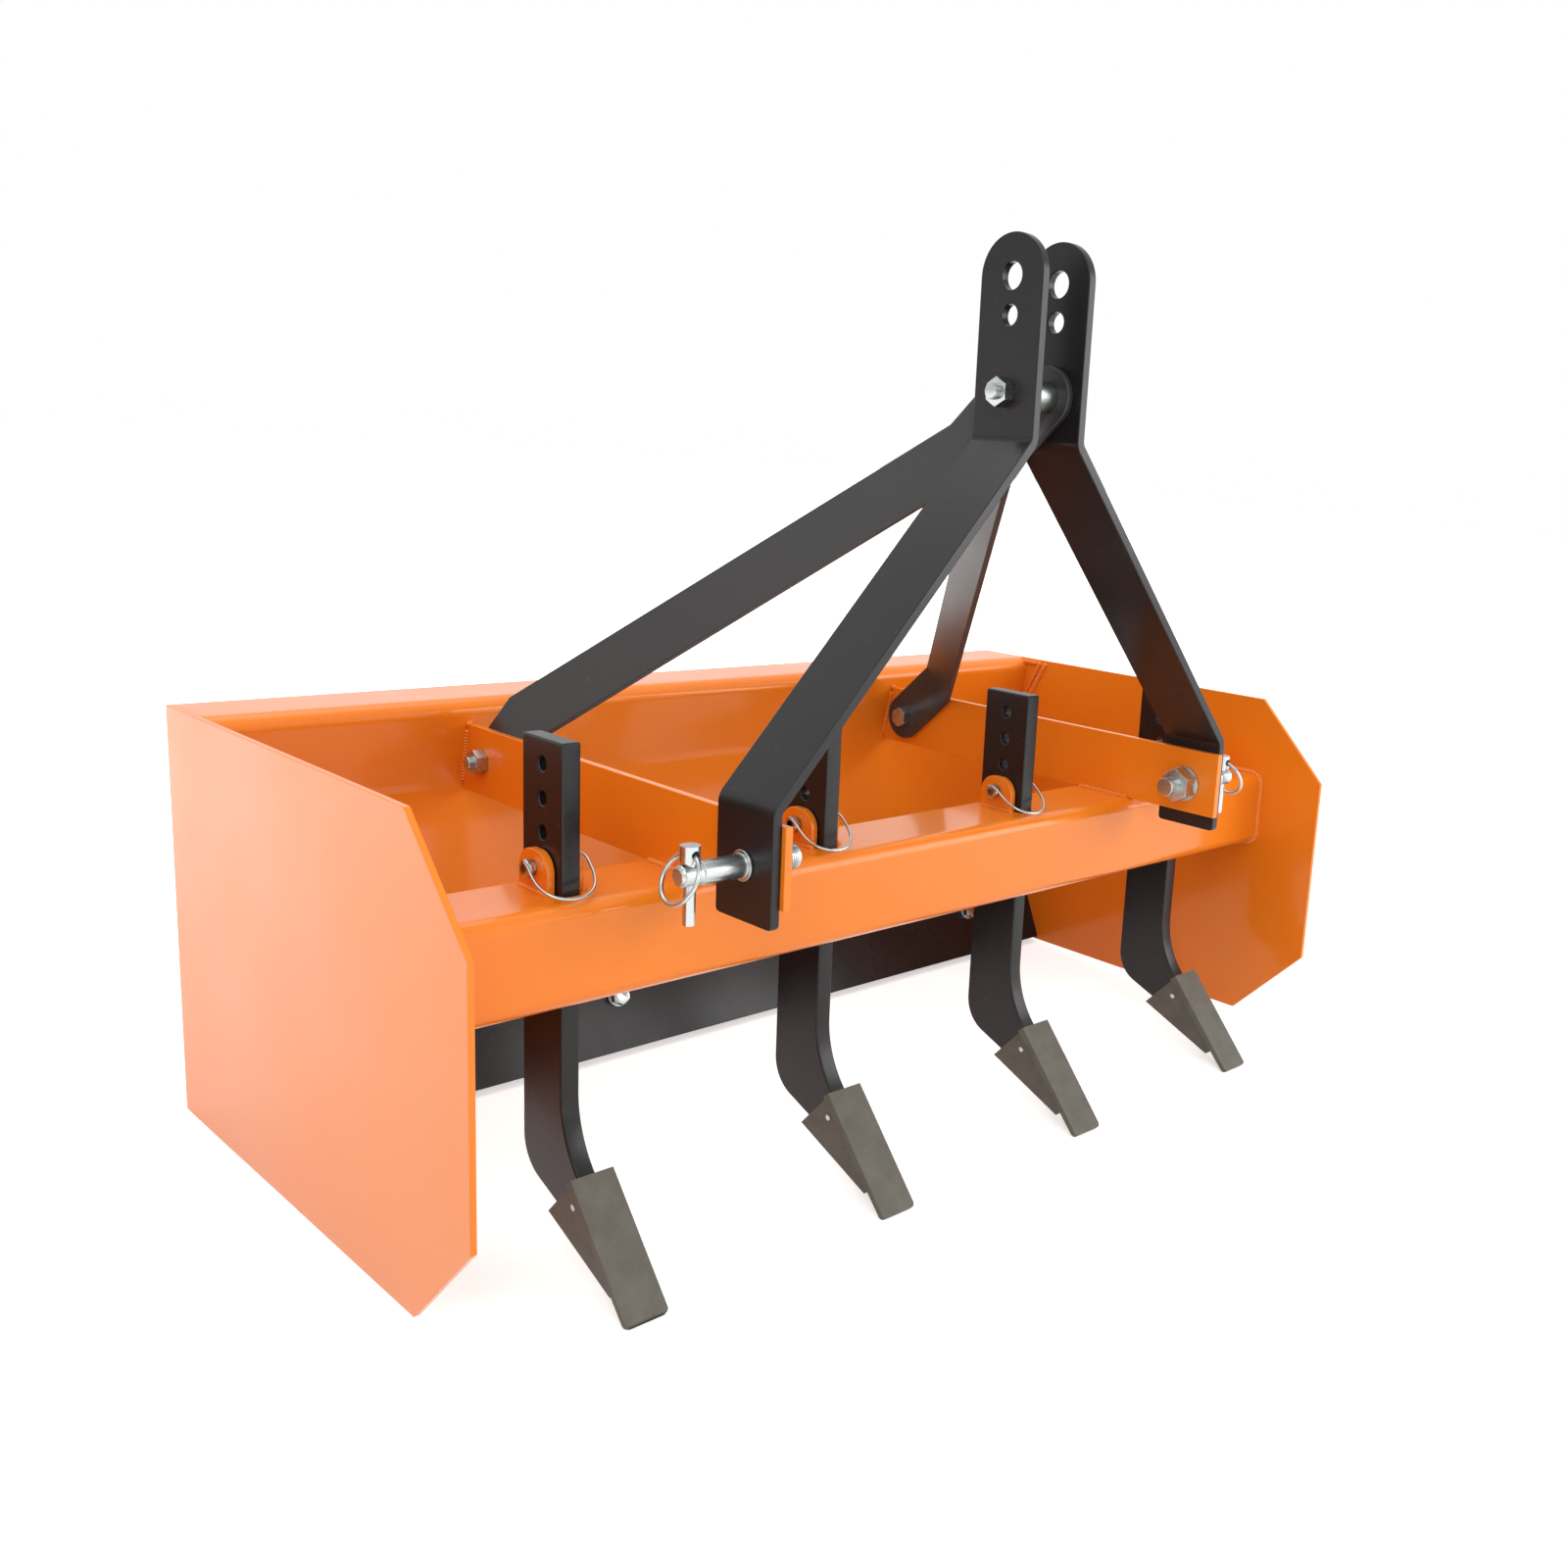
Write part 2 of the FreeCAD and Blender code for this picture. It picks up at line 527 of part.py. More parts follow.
def shank_tips():
    heel_dy, heel_dz = f"(tip_top_back - ({shank_rear}))", "(shank_heel_height - tip_top_height)"
    heel_along = f"-{heel_dy} * sin(tip_lean) - {heel_dz} * cos(tip_lean)"
    heel_behind = f"{heel_dy} * cos(tip_lean) - {heel_dz} * sin(tip_lean)"
    for number in range(1, 5):
        body = new_body(f"shank_tip_{number}")
        place = {"across": "-tip_top_back", "up": "tip_top_height", "out": shank_middle(number),
                 "turn": "270 - tip_lean"}
        cheeks = new_sketch(body, "YZ_Plane", **place)
        outline(cheeks, [("0", "0"), ("heel_along", "0"), ("heel_along", "heel_behind"),
                         ("shoulder_along", "shoulder_behind")])
        pad(body, cheeks, "cheek_width", both_ways=True)
        face = new_sketch(body, "YZ_Plane", **place)
        outline(face, [("0", "0"), ("tip_length", "0"), ("tip_length", "tip_end"), ("0", "tip_face")])
        pad(body, face, "tip_width", both_ways=True)
        socket = new_sketch(body, "YZ_Plane", **place)
        outline(socket, [(heel_along, "tip_face"), ("nose_along + socket_clearance", "tip_face"),
                         ("nose_end_along + socket_clearance", "nose_end_behind + socket_clearance"),
                         (heel_along, f"{heel_behind} + 2 * socket_clearance")])
        pocket(body, socket, "shank_thickness + 2 * socket_clearance")


def shank_tabs():
    inside = "shank_thickness / 2 + slot_clearance"
    for number in range(1, 5):
        for name, side in SIDES:
            body = new_body(f"shank_tab_{number}_{name}")
            sketch = new_sketch(body, "YZ_Plane",
                                out=f"{shank_middle(number)} + {low_end(side, inside, 'tab_thickness')}")
            near, far = "-shank_back - tab_width / 2", "-shank_back + tab_width / 2"
            top = f"{beam_top} + tab_height"
            outline(sketch, [(near, beam_top), (far, beam_top), (far, top), (near, top)])
            plate = pad(body, sketch, "tab_thickness")
            rounded(body, plate, "tab_radius", 0, [(near, top), (far, top)])
            hole = new_sketch(body, "YZ_Plane")
            circle(hole, "-shank_back", lock_pin_height, "lock_hole")
            pocket(body, hole, "2 * overall_width")


def lock_pins():
    reach = "shank_thickness / 2 + slot_clearance + tab_thickness + lock_pin_past"
    for number in range(1, 5):
        at = ("shank_back", lock_pin_height)
        start = f"{shank_middle(number)} - ({reach})"
        rod = rod_across(start, *at, "lock_pin_diameter", f"2 * ({reach})")
        head = rod_across(start, *at, "lock_head_diameter", "lock_head_length")
        pieces.append(joined(f"lock_pin_{number}", [rod, head]))


for build in (side_panels, moldboard, rear_leg, cutting_edges, cross_beam, hitch_plates, front_straps,
              rear_braces, mast_hardware, rear_bolts, hitch_pins, lynch_pins, shanks, shank_tips,
              shank_tabs, lock_pins):
    build()
doc.recompute()

# The box stands on its tips and on its panels' back corners, so it leans back a little.
low_back, low_height = (worth(f) for f in at_tip("tip_length", "tip_end"))
lean_back = math.degrees(math.atan2(max(0.0, -low_height), -low_back))
stance = Placement(Vector(), Rotation(Vector(1, 0, 0), -lean_back))
for piece in pieces:
    piece.Placement = stance
doc.recompute()
whole = Part.makeCompound([piece.Shape for piece in pieces]).optimalBoundingBox()
middle = Vector(-(whole.XMin + whole.XMax) / 2, -(whole.YMin + whole.YMax) / 2, -whole.ZMin)
for piece in pieces:
    piece.Placement = Placement(middle, Rotation()).multiply(stance)
doc.recompute()

for item in doc.Objects:
    if "Invalid" in item.State or "Error" in item.State:
        raise ValueError(f"{item.Label} did not build: {item.State}")
os.makedirs("parts", exist_ok=True)
for piece in pieces:
    if piece.Shape.isNull() or not piece.Shape.isValid():
        raise ValueError(f"{piece.Label} has no sound shape")
    piece.Shape.exportStep(f"parts/{piece.Label}.step")
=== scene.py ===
import itertools
import math

import bpy
from mathutils import Matrix, Vector


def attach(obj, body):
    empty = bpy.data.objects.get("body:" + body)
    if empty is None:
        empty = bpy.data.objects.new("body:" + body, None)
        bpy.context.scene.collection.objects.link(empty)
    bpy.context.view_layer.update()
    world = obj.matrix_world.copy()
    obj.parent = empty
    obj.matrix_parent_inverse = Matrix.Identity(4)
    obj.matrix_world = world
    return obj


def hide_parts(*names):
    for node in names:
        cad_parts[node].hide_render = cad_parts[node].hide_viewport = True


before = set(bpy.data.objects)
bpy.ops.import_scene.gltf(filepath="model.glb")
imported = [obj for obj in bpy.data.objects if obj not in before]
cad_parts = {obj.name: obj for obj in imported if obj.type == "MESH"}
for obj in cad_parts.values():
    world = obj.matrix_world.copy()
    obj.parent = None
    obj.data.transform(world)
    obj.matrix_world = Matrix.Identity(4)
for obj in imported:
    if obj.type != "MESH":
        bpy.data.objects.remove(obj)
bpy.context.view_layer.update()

# The studio: a white sweep under soft light from above, from the left and from the front right.
# The box blade is drawn level, and then it settles back on its shank tips and its panels' back
# corners, and the camera with it.
LEAN_BACK = math.radians(1.72359)
BACK_EDGE = 0.3141222
stance = Matrix.Translation((0, BACK_EDGE, 0)) @ Matrix.Rotation(-LEAN_BACK, 4, "X")


def deselect():
    for chosen in list(bpy.context.selected_objects):
        chosen.select_set(False)


def node_adder(tree):
    """A short way to add nodes to a tree, with their inputs set or linked by name."""
    def add(kind, inputs=None, **settings):
        node = tree.nodes.new("ShaderNode" + kind)
        for key, value in settings.items():
            setattr(node, key, value)
        for key, value in (inputs or {}).items():
            if isinstance(value, bpy.types.NodeSocket):
                tree.links.new(value, node.inputs[key])
            else:
                node.inputs[key].default_value = value
        return node
    return add


def new_material(name):
    material = bpy.data.materials.new(name)
    material.use_nodes = True
    material.node_tree.nodes.clear()
    return material, node_adder(material.node_tree)


def white_rays(add):
    """One for what the camera, a mirror or glass sees, and nought for plain light."""
    rays = add("LightPath").outputs
    seen = add("Math", {0: rays["Is Camera Ray"], 1: rays["Is Glossy Ray"]}, operation="MAXIMUM")
    return add("Math", {0: seen.outputs[0], 1: rays["Is Transmission Ray"]}, operation="MAXIMUM").outputs[0]


FLOOR_SIZE = 40
deselect()
bpy.ops.mesh.primitive_plane_add(size=FLOOR_SIZE, location=(0, 0, 0))
floor = bpy.context.object
floor.name = "studio_floor"
floor_material, add = new_material("studio_floor_white")
spot = add("TexCoord").outputs["Object"]
grain = add("TexNoise", {"Vector": spot, "Scale": 3.0})
shade = add("MapRange", {"Value": grain.outputs["Fac"], "To Min": 0.80, "To Max": 0.84})
away = add("VectorMath", {0: spot}, operation="LENGTH").outputs["Value"]
# the shadow shows round the object, and further off the floor is the sweep's plain white
glow = add("MapRange", {"Value": away, "From Min": 0.55, "From Max": 1.9, "To Min": 0.52, "To Max": 1.0})
dull = add("BsdfDiffuse", {"Color": (0.80, 0.80, 0.80, 1), "Roughness": shade.outputs[0]})
lift = add("Emission", {"Color": (1, 1, 1, 1), "Strength": glow.outputs[0]})
lifted = add("AddShader", {0: dull.outputs[0], 1: lift.outputs[0]})
floor_mix = add("MixShader", {0: white_rays(add), 1: dull.outputs[0], 2: lifted.outputs[0]})
add("OutputMaterial", {"Surface": floor_mix.outputs[0]})
floor.data.materials.append(floor_material)

world = bpy.data.worlds.new("studio_world")
bpy.context.scene.world = world
world.use_nodes = True
world.node_tree.nodes.clear()
add = node_adder(world.node_tree)
plain_light = add("Background", {"Color": (1, 0.985, 0.96, 1), "Strength": 0.94})
seen_white = add("Background", {"Color": (1, 1, 1, 1), "Strength": 1.0})
world_mix = add("MixShader", {0: white_rays(add), 1: plain_light.outputs[0], 2: seen_white.outputs[0]})
add("OutputWorld", {"Surface": world_mix.outputs[0]})


LAMP_AIM = (0, 0, 0.3)


def soft_lamp(name, spot, size, power):
    """A round lamp that shines on the middle of the box blade."""
    lamp = bpy.data.objects.new(name, bpy.data.lights.new(name, "AREA"))
    bpy.context.scene.collection.objects.link(lamp)
    lamp.data.shape = "DISK"
    lamp.data.size = size
    lamp.data.energy = power
    lamp.location = spot
    lamp.rotation_euler = (Vector(LAMP_AIM) - Vector(spot)).to_track_quat("-Z", "Y").to_euler()


soft_lamp("key_lamp", (-2.6, -2.2, 3.2), size=2.4, power=40)
soft_lamp("fill_lamp", (2.6, -3.0, 1.5), size=2.4, power=60)
soft_lamp("top_lamp", (0, 0.8, 3.8), size=3.0, power=36)

CAMERA_SPOT = (-1.12332, -1.6146, 0.72719)
CAMERA_AZIMUTH, CAMERA_RISE, CAMERA_ROLL = (math.radians(a) for a in (-46.47, 11.99, 3.46))
CAMERA_FOCUS = 1513.97
CAMERA_CENTRE = (983.55, 797.82)
FRAME_SIDE = 1600
back = Vector((math.sin(CAMERA_AZIMUTH) * math.cos(CAMERA_RISE),
               -math.cos(CAMERA_AZIMUTH) * math.cos(CAMERA_RISE), math.sin(CAMERA_RISE)))
right = (-back).cross(Vector((0, 0, 1))).normalized()
up = right.cross(-back)
across = right * math.cos(CAMERA_ROLL) + up * math.sin(CAMERA_ROLL)
upward = up * math.cos(CAMERA_ROLL) - right * math.sin(CAMERA_ROLL)
camera = bpy.data.objects.new("camera", bpy.data.cameras.new("camera"))
bpy.context.scene.collection.objects.link(camera)
camera.data.sensor_fit = "HORIZONTAL"
camera.data.lens = CAMERA_FOCUS / FRAME_SIDE * camera.data.sensor_width
camera.data.shift_x = (FRAME_SIDE / 2 - CAMERA_CENTRE[0]) / FRAME_SIDE
camera.data.shift_y = (CAMERA_CENTRE[1] - FRAME_SIDE / 2) / FRAME_SIDE
axes = Matrix((across, upward, back)).transposed().to_4x4()
camera.matrix_world = stance @ Matrix.Translation(CAMERA_SPOT) @ axes
bpy.context.scene.camera = camera
bpy.context.scene.view_settings.view_transform = "Standard"

# The side panels: two flat 6 mm steel plates with their front corners cut off, painted a glossy
# orange. The paint rounds their cut edges a little.
PLATE_EDGE = 0.0008
ORANGE = (0.82, 0.200, 0.007)


def gloss_paint(name, colour, roughness, coat, dust, ior, shine=(1, 1, 1, 1)):
    """Thick gloss paint: a faint orange-peel skin, uneven gloss and a little dust."""
    material, add = new_material(name)
    at = add("TexCoord").outputs["Object"]
    cloud = add("TexNoise", {"Vector": at, "Scale": 5.0, "Detail": 4.0})
    speck = add("TexNoise", {"Vector": at, "Scale": 140.0, "Detail": 3.0, "Roughness": 0.7})
    peel = add("TexNoise", {"Vector": at, "Scale": 420.0, "Detail": 1.0})
    deep = tuple(c * 0.90 for c in colour) + (1,)
    pale = tuple(min(1.0, c * 1.07 + 0.003) for c in colour) + (1,)
    tint = add("MixRGB", {"Fac": cloud.outputs["Fac"], "Color1": deep, "Color2": pale})
    dusty = add("MapRange", {"Value": speck.outputs["Fac"], "From Min": 0.62, "From Max": 0.80,
                             "To Min": 0.0, "To Max": dust})
    skin = add("MixRGB", {"Fac": dusty.outputs[0], "Color1": tint.outputs[0],
                          "Color2": (0.62, 0.56, 0.48, 1)})
    rough = add("MapRange", {"Value": cloud.outputs["Fac"], "From Min": 0.3, "From Max": 0.7,
                             "To Min": roughness - 0.06, "To Max": roughness + 0.08})
    bump = add("Bump", {"Height": peel.outputs["Fac"], "Strength": 0.045, "Distance": 0.0006})
    paint = add("BsdfPrincipled", {"Base Color": skin.outputs[0], "Roughness": rough.outputs[0],
                                   "Normal": bump.outputs[0], "Coat Weight": coat,
                                   "Coat Roughness": 0.10, "Coat IOR": 1.4, "IOR": ior,
                                   "Specular Tint": shine})
    add("OutputMaterial", {"Surface": paint.outputs[0]})
    return material


orange_paint = gloss_paint("orange_gloss_paint", ORANGE, roughness=0.34, coat=0.6, dust=0.10,
                           ior=1.36, shine=(1, 0.86, 0.66, 1))


def edged(node, edge, material, bevel_from=30, body="frame", corners=None, corner_radius=0.004,
          cut_up=False):
    """A node's own solid with its loose triangles merged and its sharp edges rounded.

    corners picks edges to round further, by their middle and direction before the settling.
    cut_up is for a shape whose rounded edges nearly meet: it leaves its faces as triangles."""
    deselect()
    piece = bpy.data.objects.new("finished_" + node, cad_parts[node].data.copy())
    bpy.context.scene.collection.objects.link(piece)
    bpy.context.view_layer.objects.active = piece
    piece.select_set(True)
    piece.data.materials.clear()
    if piece.data.has_custom_normals:
        bpy.ops.mesh.customdata_custom_splitnormals_clear()
    bpy.ops.object.mode_set(mode="EDIT")
    bpy.ops.mesh.select_all(action="SELECT")
    bpy.ops.mesh.remove_doubles(threshold=0.00001)
    bpy.ops.mesh.dissolve_limited(angle_limit=math.radians(0.3))
    bpy.ops.mesh.select_all(action="DESELECT")
    bpy.ops.object.mode_set(mode="OBJECT")
    if corners:
        level = [stance.inverted() @ v.co for v in piece.data.vertices]
        for line in piece.data.edges:
            first, last = (level[i] for i in line.vertices)
            line.select = corners((first + last) / 2, (last - first).normalized())
        bpy.ops.object.mode_set(mode="EDIT")
        bpy.ops.mesh.select_mode(type="EDGE")
        bpy.ops.mesh.bevel(offset=corner_radius, segments=4, affect="EDGES")
        bpy.ops.object.mode_set(mode="OBJECT")
    if cut_up:
        bpy.ops.object.mode_set(mode="EDIT")
        bpy.ops.mesh.select_all(action="SELECT")
        bpy.ops.mesh.quads_convert_to_tris(quad_method="BEAUTY", ngon_method="BEAUTY")
        bpy.ops.object.mode_set(mode="OBJECT")
    rim = piece.modifiers.new("rim", "BEVEL")
    rim.width = edge
    rim.segments = 2
    rim.limit_method = "ANGLE"
    rim.angle_limit = math.radians(bevel_from)
    rim.use_clamp_overlap = cut_up
    rim.loop_slide = False
    bpy.ops.object.modifier_apply(modifier="rim")
    bpy.ops.object.shade_smooth_by_angle(angle=math.radians(48))
    # the wide faces keep their own normals, so that a flat looks flat up to its rounded edge
    flats = piece.modifiers.new("flats", "WEIGHTED_NORMAL")
    flats.keep_sharp = True
    flats.weight = 80
    bpy.ops.object.modifier_apply(modifier="flats")
    return handed_over(piece, material, (node,), body)


def handed_over(piece, material, nodes=(), body="frame"):
    piece.data.materials.clear()
    piece.data.materials.append(material)
    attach(piece, body)
    if nodes:
        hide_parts(*nodes)
    return piece


for side in ("left", "right"):
    edged(f"side_panel_{side}", PLATE_EDGE, orange_paint)

# The moldboard and the rear blade plate: a 6 mm sheet folded to a top flange, a wall and a
# lower leg, welded between the panels. A second leg behind it carries the rear cutting edge.
edged("moldboard", PLATE_EDGE, orange_paint, bevel_from=40)
edged("rear_blade_plate", PLATE_EDGE, orange_paint)


def level_box(node):
    """The lowest and highest corners of a CAD node before the settling."""
    places = [stance.inverted() @ v.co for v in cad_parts[node].data.vertices]
    return [Vector(pick(p[i] for p in places) for i in range(3)) for pick in (min, max)]


def joined(parts, name):
    """Parts made in the level frame, joined to one piece and settled with the box."""
    deselect()
    for part in parts:
        part.select_set(True)
    bpy.context.view_layer.objects.active = parts[0]
    bpy.ops.object.join()
    parts[0].name = name
    parts[0].data.transform(stance)
    return parts[0]


BEAD_RADIUS = 0.0042
RIPPLE_PITCH = 0.0036
ripple_seeds = itertools.count(1)


def weld_run(start, end, radius):
    """A straight bead of overlapping ripples, each tipped back like a fallen coin."""
    way = (end - start).normalized()
    deselect()
    bpy.ops.mesh.primitive_uv_sphere_add(segments=8, ring_count=5, radius=radius)
    run = bpy.context.object
    bpy.ops.object.mode_set(mode="EDIT")
    bpy.ops.transform.resize(value=(0.62, 1.0, 1.0))
    bpy.ops.object.mode_set(mode="OBJECT")
    run.data.transform(way.to_track_quat("X", "Z").to_matrix().to_4x4())
    ripples = run.modifiers.new("ripples", "ARRAY")
    ripples.use_relative_offset = False
    ripples.use_constant_offset = True
    ripples.constant_offset_displace = way * RIPPLE_PITCH
    ripples.count = max(2, round((end - start).length / RIPPLE_PITCH))
    bpy.ops.object.modifier_apply(modifier="ripples")
    bpy.ops.object.mode_set(mode="EDIT")
    bpy.ops.mesh.select_all(action="SELECT")
    bpy.ops.transform.vertex_random(offset=0.0004, seed=next(ripple_seeds))
    bpy.ops.object.mode_set(mode="OBJECT")
    bpy.ops.object.shade_smooth()
    run.data.transform(Matrix.Translation(start))
    return run


def weld(name, paths, radius=BEAD_RADIUS):
    """One piece of weld metal that follows each path, a list of points, from end to end."""
    runs = []
    for path in paths:
        points = [Vector(p) for p in path]
        runs += [weld_run(start, end, radius) for start, end in zip(points, points[1:])]
    return handed_over(joined(runs, name), orange_paint)


INSIDE = level_box("side_panel_right")[0].x
flange = level_box("moldboard")
SHEET = 0.006
CREASE_BACK, CREASE_HEIGHT = 0.078, 0.345
KNEE_BACK, KNEE_HEIGHT = 0.0909, 0.1218
flange_under = flange[1].z - SHEET
weld("moldboard_welds", [
    [(side * INSIDE, flange[0].y, flange_under), (side * INSIDE, -CREASE_BACK, CREASE_HEIGHT),
     (side * INSIDE, -KNEE_BACK, KNEE_HEIGHT)] for side in (-1, 1)] + [
    [(side * INSIDE, -SHEET, flange_under),
     (side * INSIDE, flange[0].y + 2 * SHEET, flange_under),
     (side * INSIDE, -CREASE_BACK + SHEET, CREASE_HEIGHT),
     (side * INSIDE, -KNEE_BACK + SHEET, KNEE_HEIGHT + SHEET)] for side in (-1, 1)])

# The cutting edges: two flat bars of hard steel, painted black, each held to its leg by four
# plated bolts with washers under their heads and nuts.
BLACK = (0.010, 0.0088, 0.0095)
black_paint = gloss_paint("black_gloss_paint", BLACK, roughness=0.27, coat=0.0, dust=0.04, ior=1.37)
CUTTING_RIM = 0.001
for end in ("front", "rear"):
    edged(f"cutting_edge_{end}", CUTTING_RIM, black_paint)

ZINC = (0.50, 0.53, 0.525)


def plated_steel(name, colour, roughness):
    """Bright zinc plate: patches of duller crystals over fine scratches."""
    material, add = new_material(name)
    at = add("TexCoord").outputs["Object"]
    cloud = add("TexNoise", {"Vector": at, "Scale": 45.0, "Detail": 4.0})
    grit = add("TexNoise", {"Vector": at, "Scale": 900.0, "Detail": 2.0})
    tint = add("MixRGB", {"Fac": cloud.outputs["Fac"], "Color1": tuple(c * 0.78 for c in colour) + (1,),
                          "Color2": tuple(min(1.0, c * 1.16) for c in colour) + (1,)})
    rough = add("MapRange", {"Value": cloud.outputs["Fac"], "From Min": 0.3, "From Max": 0.7,
                             "To Min": roughness - 0.06, "To Max": roughness + 0.12})
    bump = add("Bump", {"Height": grit.outputs["Fac"], "Strength": 0.08, "Distance": 0.0003})
    plate = add("BsdfPrincipled", {"Base Color": tint.outputs[0], "Metallic": 1.0,
                                   "Roughness": rough.outputs[0], "Normal": bump.outputs[0]})
    add("OutputMaterial", {"Surface": plate.outputs[0]})
    return material


zinc = plated_steel("zinc_plate", ZINC, roughness=0.26)


def drum(start, length, radius, at=(0, 0), rim=0.0004, sides=40, turn=0.0):
    """A round or many-sided bar along x from its left end, with its rims turned off."""
    deselect()
    facing = Matrix.Rotation(math.pi / 2, 3, "Y") @ Matrix.Rotation(turn, 3, "Z")
    bpy.ops.mesh.primitive_cylinder_add(vertices=sides, radius=radius, depth=length,
                                        location=(start + length / 2, *at), rotation=facing.to_euler())
    bpy.ops.object.transform_apply(location=True, rotation=True, scale=True)
    piece = bpy.context.object
    turned = piece.modifiers.new("turned", "BEVEL")
    turned.width = rim
    turned.segments = 2
    turned.limit_method = "ANGLE"
    turned.angle_limit = math.radians(50)
    bpy.ops.object.modifier_apply(modifier="turned")
    bpy.ops.object.shade_smooth_by_angle(angle=math.radians(28))
    return piece


def hexagon(start, length, across_flats, at=(0, 0)):
    """A nut or a bolt's head along x, with its six corners turned off at both ends."""
    block = drum(start, length, across_flats / math.sqrt(3), at, 0.0002, 6, math.pi / 6)
    blank = drum(start, length, across_flats * 0.6, at, across_flats * 0.11, 64)
    deselect()
    bpy.context.view_layer.objects.active = block
    block.select_set(True)
    corners = block.modifiers.new("corners", "BOOLEAN")
    corners.operation = "INTERSECT"
    corners.object = blank
    bpy.ops.object.modifier_apply(modifier="corners")
    bpy.data.objects.remove(blank)
    bpy.ops.object.shade_smooth_by_angle(angle=math.radians(24))
    return block


THREAD_PITCH = 0.002


def threads(start, length, radius, at=(0, 0)):
    """The threaded end of a bar along x: a turned core, with a row of shallow cones round it."""
    core = drum(start, length, radius - THREAD_PITCH * 0.4, at, 0.0007)
    deselect()
    bpy.ops.mesh.primitive_cone_add(vertices=24, radius1=radius, radius2=radius - THREAD_PITCH * 0.45,
                                    depth=THREAD_PITCH, location=(start + THREAD_PITCH, *at),
                                    rotation=(0, math.pi / 2, 0))
    bpy.ops.object.transform_apply(location=True, rotation=True, scale=True)
    ridge = bpy.context.object
    row = ridge.modifiers.new("row", "ARRAY")
    row.use_relative_offset = False
    row.use_constant_offset = True
    row.constant_offset_displace = (THREAD_PITCH, 0, 0)
    row.count = max(1, int(length / THREAD_PITCH - 0.8))
    bpy.ops.object.modifier_apply(modifier="row")
    bpy.ops.object.shade_smooth_by_angle(angle=math.radians(28))
    core.select_set(True)
    bpy.ops.object.join()
    return ridge


def stretch(one_end, other_end):
    """Where a stretch along x starts, and its length, from its two ends in either order."""
    return min(one_end, other_end), abs(one_end - other_end)


def copied(piece, place):
    """A copy with its own mesh, moved, turned or mirrored to its place."""
    twin = bpy.data.objects.new(piece.name, piece.data.copy())
    bpy.context.scene.collection.objects.link(twin)
    twin.data.transform(place)
    if place.is_negative:
        deselect()
        bpy.context.view_layer.objects.active = twin
        twin.select_set(True)
        bpy.ops.object.mode_set(mode="EDIT")
        bpy.ops.mesh.select_all(action="SELECT")
        bpy.ops.mesh.normals_make_consistent(inside=False)
        bpy.ops.object.mode_set(mode="OBJECT")
    return twin


EDGE_LEAN = math.radians(24)
EDGE_STACK = 0.018
EDGE_BOLT_SPOT = (-0.1289, 0.0660)
EDGE_BOLT_STEP = 0.309
EDGE_MIRROR = -0.08925
EDGE_WASHER, EDGE_WASHER_RADIUS = 0.0022, 0.0135
EDGE_HEAD, EDGE_NUT, EDGE_FLATS = 0.009, 0.011, 0.022
EDGE_THREAD, EDGE_THREAD_RADIUS = 0.0048, 0.0069
washer_end = -EDGE_STACK - EDGE_WASHER
edge_bolt = [drum(0, EDGE_WASHER, EDGE_WASHER_RADIUS),
             hexagon(EDGE_WASHER, EDGE_HEAD, EDGE_FLATS),
             drum(washer_end, EDGE_WASHER, EDGE_WASHER_RADIUS),
             hexagon(washer_end - EDGE_NUT, EDGE_NUT, EDGE_FLATS),
             threads(washer_end - EDGE_NUT - EDGE_THREAD, EDGE_THREAD, EDGE_THREAD_RADIUS)]
outwards = Vector((0, -math.cos(EDGE_LEAN), math.sin(EDGE_LEAN))).to_track_quat("X", "Z").to_matrix().to_4x4()
mirrored = Matrix.Translation((0, 2 * EDGE_MIRROR, 0)) @ Matrix.Scale(-1, 4, (0, 1, 0))
for end, turned_over in (("front", Matrix.Identity(4)), ("rear", mirrored)):
    bolts = []
    for number in range(4):
        spot = ((number - 1.5) * EDGE_BOLT_STEP, *EDGE_BOLT_SPOT)
        place = turned_over @ Matrix.Translation(spot) @ outwards
        bolts += [copied(piece, place) for piece in edge_bolt]
    handed_over(joined(bolts, f"cutting_edge_bolts_{end}"), zinc)
for piece in edge_bolt:
    bpy.data.objects.remove(piece)

# The cross beam: a square tube with rounded corners that joins the panels ahead of the
# moldboard. A bead of weld runs all round each of its ends.
edged("cross_beam", PLATE_EDGE, orange_paint, bevel_from=40)
beam = level_box("cross_beam")
BEAM_RADIUS = 0.014
BEAM_BEAD_RADIUS = 0.0056


def round_the_beam(x):
    """Points round the tube's outside, with its corners as arcs of three steps."""
    ring = []
    for number, (fore_aft, low_high) in enumerate(((1, 1), (0, 1), (0, 0), (1, 0))):
        centre_y = beam[fore_aft].y + (BEAM_RADIUS if fore_aft == 0 else -BEAM_RADIUS)
        centre_z = beam[low_high].z + (BEAM_RADIUS if low_high == 0 else -BEAM_RADIUS)
        for step in range(4):
            turn = math.radians(90 * number + 30 * step)
            ring.append((x, centre_y + BEAM_RADIUS * math.cos(turn),
                         centre_z + BEAM_RADIUS * math.sin(turn)))
    return ring + ring[:1]


weld("cross_beam_welds", [round_the_beam(side * INSIDE) for side in (-1, 1)], BEAM_BEAD_RADIUS)

